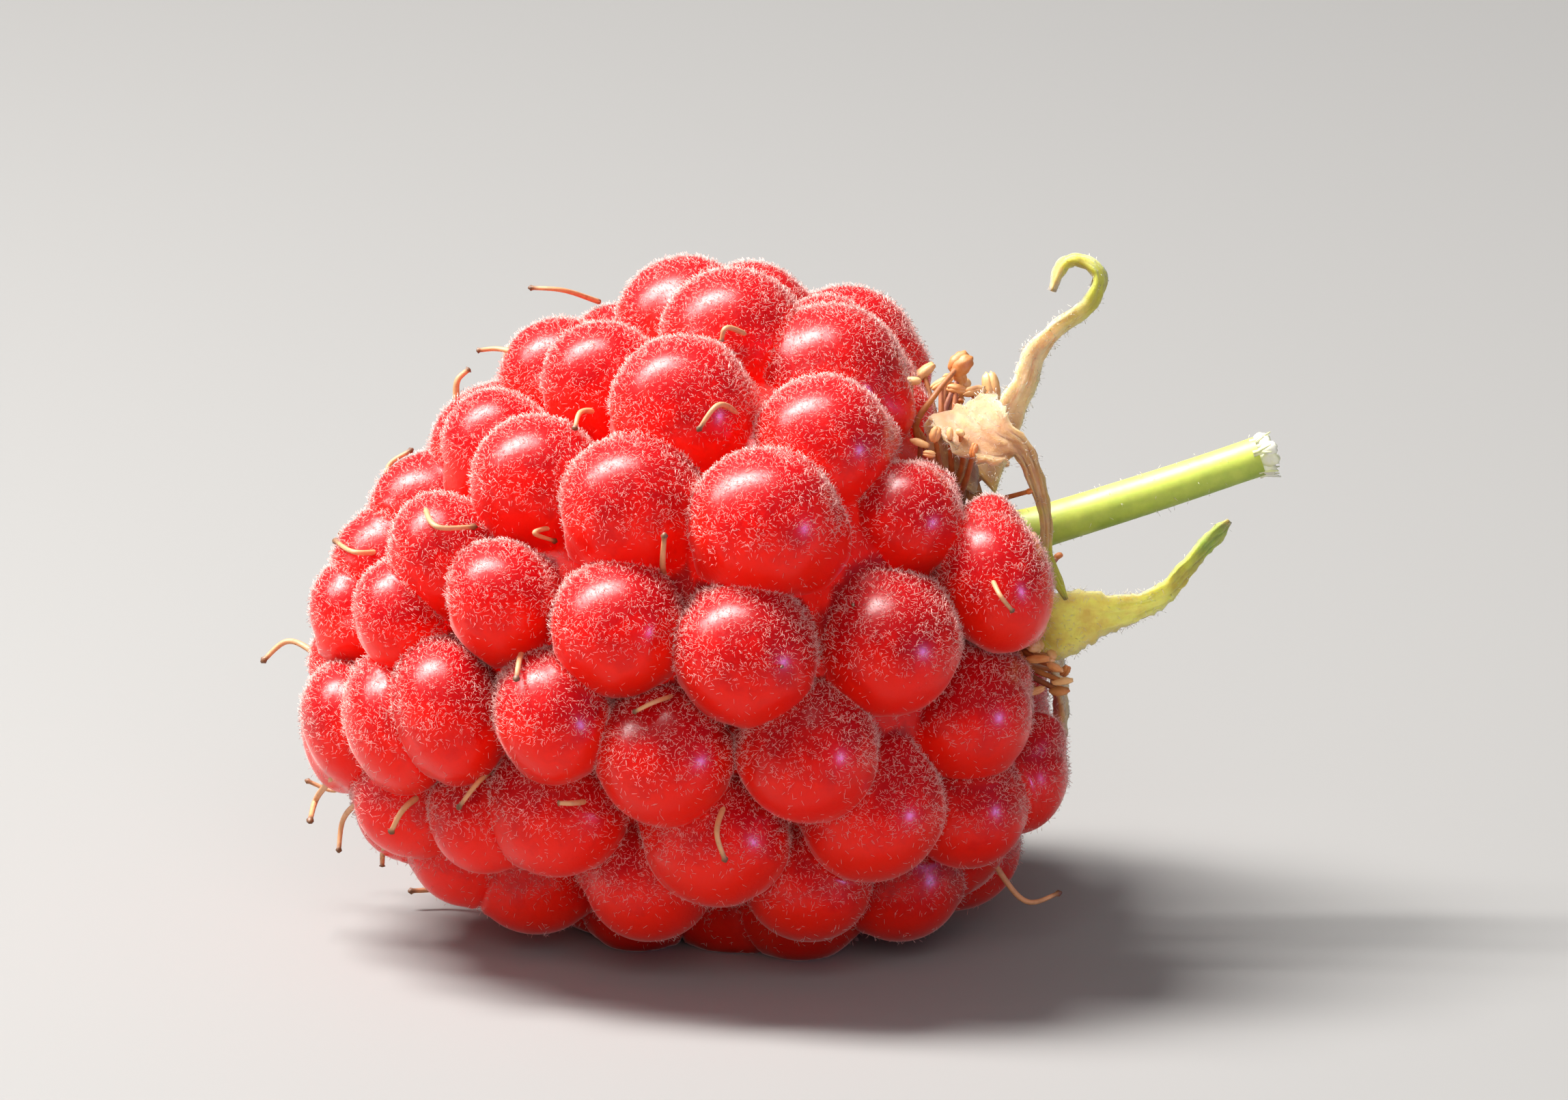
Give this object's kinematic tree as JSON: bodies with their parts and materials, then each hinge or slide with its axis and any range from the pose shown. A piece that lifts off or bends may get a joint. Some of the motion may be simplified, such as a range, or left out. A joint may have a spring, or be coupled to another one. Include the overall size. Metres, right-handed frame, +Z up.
{
  "type": "raspberry",
  "caption": "Ripe red raspberry picked with its stalk and dried calyx, lying on its side: rounded drupelets with dried styles, a tuft of stamens and curled sepals.",
  "frame": {"origin": "on the ground, on the flat spot under the lowest drupelet", "axes": "+Z up; +X towards the calyx and stalk, so the berry's tip points to -X; the front is -Y"},
  "size_m": [0.0272, 0.0198, 0.0184],
  "materials": {
    "drupelet": "translucent red skin with fine down",
    "stamen": "dry matte",
    "sepal": "dry felted matte",
    "stalk": "smooth green"
  },
  "bodies": {
    "root": {"drupelets": "drupelet", "stamens": "stamen", "calyx": "sepal", "stalk": "stalk"}
  },
  "joints": []
}
